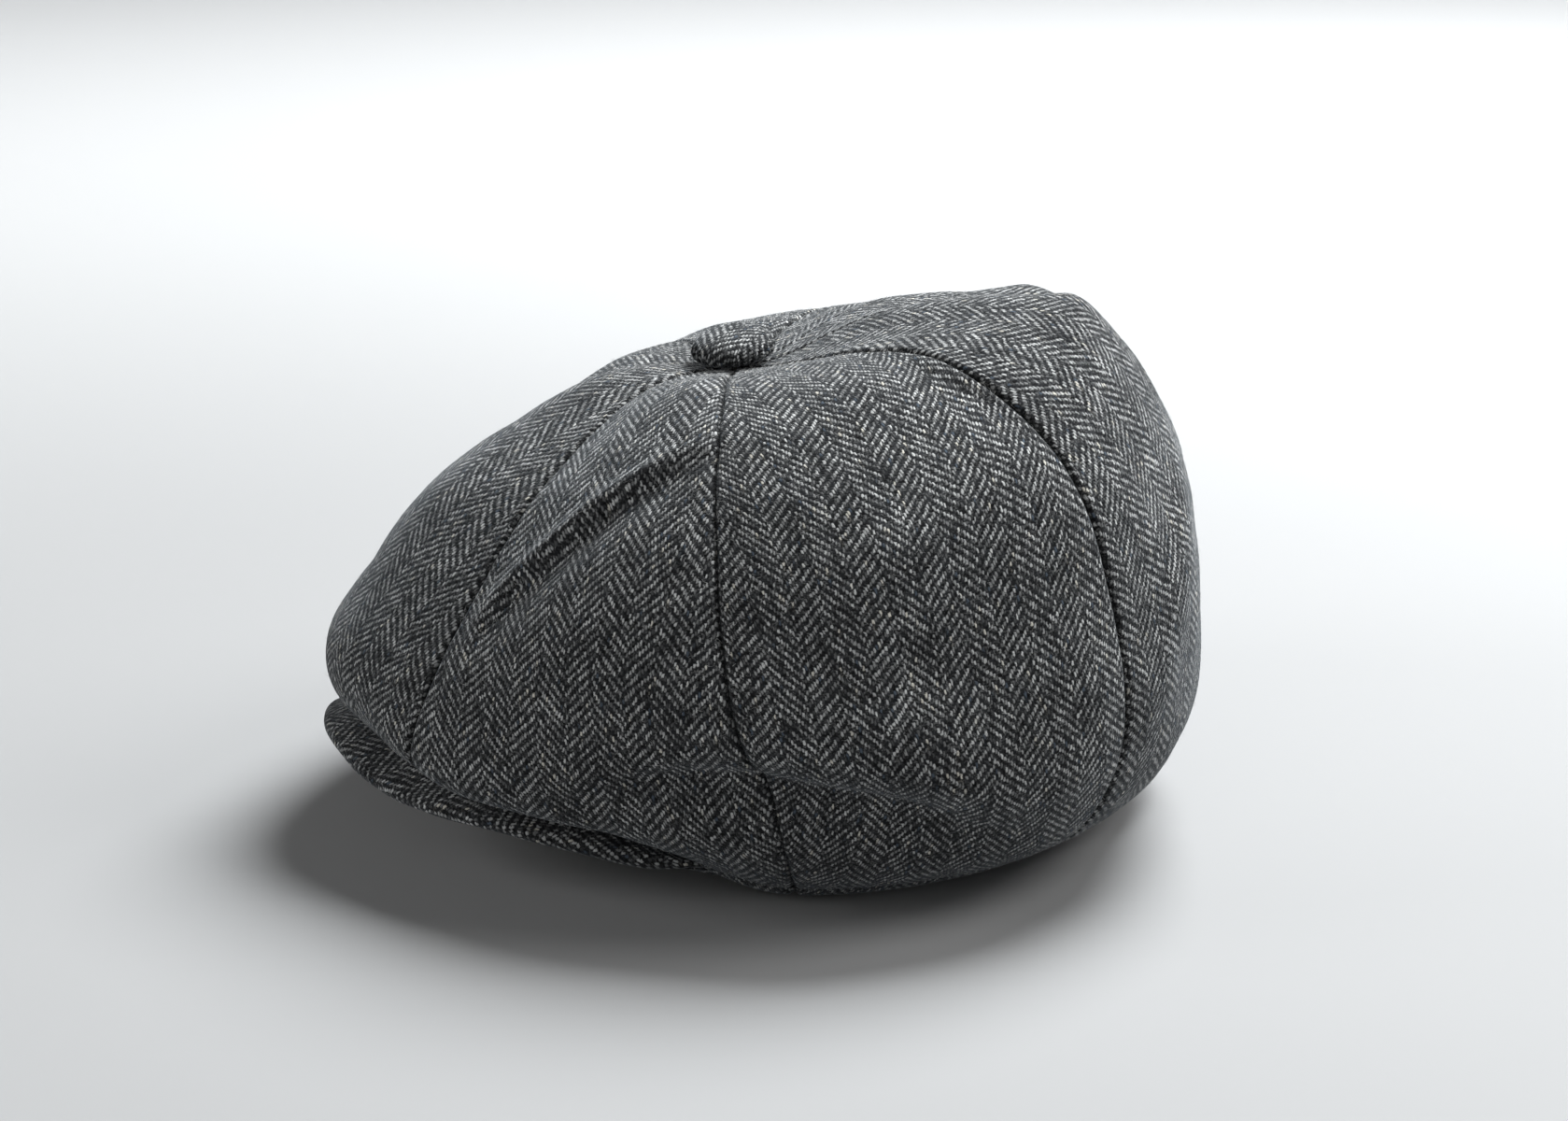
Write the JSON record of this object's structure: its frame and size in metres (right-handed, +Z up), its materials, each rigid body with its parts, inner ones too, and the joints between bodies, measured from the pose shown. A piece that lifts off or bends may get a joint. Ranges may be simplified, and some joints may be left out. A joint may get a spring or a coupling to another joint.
{
  "type": "newsboy cap",
  "caption": "Full newsboy cap in herringbone wool tweed: panelled crown gathered under a covered button and sewn down over a short stiff visor, lined, with a sweatband.",
  "frame": {"origin": "centre of the head opening, in the plane of the rim's two sides", "axes": "+Z up through the crown, -Y forward past the visor, +X to the wearer's left"},
  "size_m": [0.256, 0.2612, 0.1559],
  "materials": {
    "tweed": "herringbone wool tweed, charcoal and light grey, brushed and slightly fuzzy",
    "board": "flexible visor board",
    "button_metal": "plain stamped metal",
    "thread": "black sewing thread",
    "sweatband_twill": "black cotton twill, matt",
    "tape": "woven stiffening tape",
    "lining_satin": "dark grey satin lining with a soft sheen",
    "label": "blank woven label"
  },
  "bodies": {
    "root": {"crown_panel_front": "tweed", "crown_panel_front_left": "tweed", "crown_panel_left": "tweed", "crown_panel_back_left": "tweed", "crown_panel_back": "tweed", "crown_panel_back_right": "tweed", "crown_panel_right": "tweed", "crown_panel_front_right": "tweed", "visor_top_cover": "tweed", "visor_board": "board", "visor_under_cover": "tweed", "button_cover": "tweed", "button_shell": "button_metal", "button_back_plate": "button_metal", "button_shank": "button_metal", "button_thread": "thread", "sweatband": "sweatband_twill", "sweatband_join": "sweatband_twill", "rim_tape": "tape", "lining_gore_front": "lining_satin", "lining_gore_front_left": "lining_satin", "lining_gore_left": "lining_satin", "lining_gore_back_left": "lining_satin", "lining_gore_back": "lining_satin", "lining_gore_back_right": "lining_satin", "lining_gore_right": "lining_satin", "lining_gore_front_right": "lining_satin", "lining_label": "label"}
  },
  "joints": []
}
